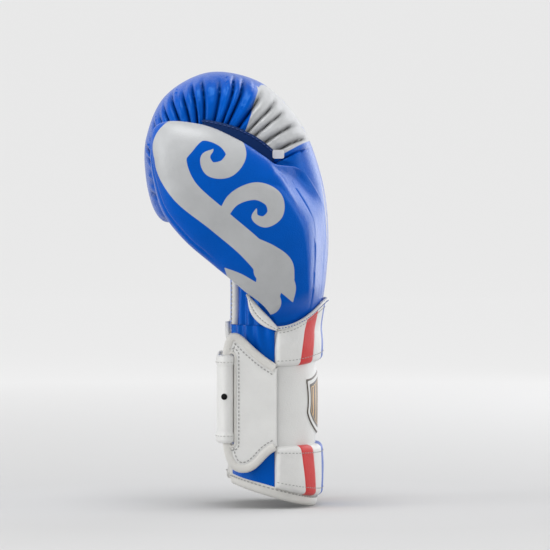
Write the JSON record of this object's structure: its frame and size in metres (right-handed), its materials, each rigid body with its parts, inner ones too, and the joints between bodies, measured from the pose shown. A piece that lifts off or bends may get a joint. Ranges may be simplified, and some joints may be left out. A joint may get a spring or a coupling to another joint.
{
  "type": "boxing glove",
  "caption": "Padded right-hand boxing glove with a locked thumb, striped wrist pads, and a cuff closed by a strap that passes through a slotted flap and folds back on hook-and-loop tape.",
  "frame": {"origin": "centre of the cuff mouth, where the wrist enters the glove", "axes": "+Z from the cuff to the knuckles, +X the back of the hand, -X the palm, -Y the thumb side, +Y the little-finger side"},
  "size_m": [0.1289, 0.1436, 0.301],
  "materials": {
    "blue_leather": "smooth blue leather, semi-gloss, fine grain",
    "navy_leather": "dark blue leather, semi-gloss",
    "white_leather": "white leather, satin, fine grain",
    "red_leather": "red leather, satin",
    "gold_print": "gold print on leather, satin",
    "foam": "closed-cell foam padding, matt",
    "lining_fabric": "woven lining, matt",
    "hook_tape": "hook tape, matt",
    "loop_tape": "loop tape, brushed, matt",
    "black_metal": "black lacquered rivet"
  },
  "bodies": {
    "root": {"back_shell": "blue_leather", "palm_shell": "blue_leather", "fingertip_panel": "blue_leather", "hand_back_foam": "foam", "knuckle_foam": "foam", "palm_foam": "foam", "finger_foam": "foam", "fingertip_foam": "foam", "hand_liner": "lining_fabric", "grip_bar": "navy_leather", "thumb_outer_panel": "blue_leather", "thumb_inner_panel": "blue_leather", "thumb_foam": "foam", "thumb_liner": "lining_fabric", "thumb_lock_strip": "navy_leather", "lock_tack": "white_leather", "thumb_base_wedge": "white_leather", "cuff_back_panel": "white_leather", "side_panel_thumb": "blue_leather", "side_panel_little": "white_leather", "cuff_liner": "lining_fabric", "mouth_binding": "white_leather", "palm_binding_thumb": "white_leather", "palm_binding_little": "white_leather", "upper_wrist_pad": "white_leather", "lower_wrist_pad": "white_leather", "blue_stripe_upper": "blue_leather", "blue_stripe_lower": "blue_leather", "red_stripe_thumb_upper": "red_leather", "red_stripe_thumb_lower": "red_leather", "red_stripe_little_upper": "red_leather", "red_stripe_little_lower": "red_leather", "badge_field": "navy_leather", "badge_border": "gold_print", "strap_inner_run": "white_leather", "loop_patch": "loop_tape"},
    "flap": {"flap_panel": "white_leather", "slot_rim": "white_leather", "flap_binding": "white_leather", "strap_fold": "white_leather", "strap_rivet": "black_metal"},
    "strap_tail": {"strap_tail": "white_leather", "strap_hem_lower": "white_leather", "strap_hem_upper": "white_leather"},
    "strap_end": {"strap_end": "white_leather", "hook_patch": "hook_tape"}
  },
  "joints": [
    {"name": "flap_open", "type": "hinge", "parent": "root", "child": "flap", "pos_m": [0.0007, -0.0526, 0.0665], "axis": [0, 0, 1], "range_deg": [0, 25]},
    {"name": "strap_peel", "type": "hinge", "parent": "flap", "child": "strap_tail", "pos_m": [-0.0382, -0.04, 0.0665], "axis": [0, 0, 1], "range_deg": [0, 95]},
    {"name": "strap_end_bend", "type": "hinge", "parent": "strap_tail", "child": "strap_end", "pos_m": [-0.0382, 0.012, 0.0665], "axis": [0, 0, 1], "range_deg": [0, 40]}
  ]
}
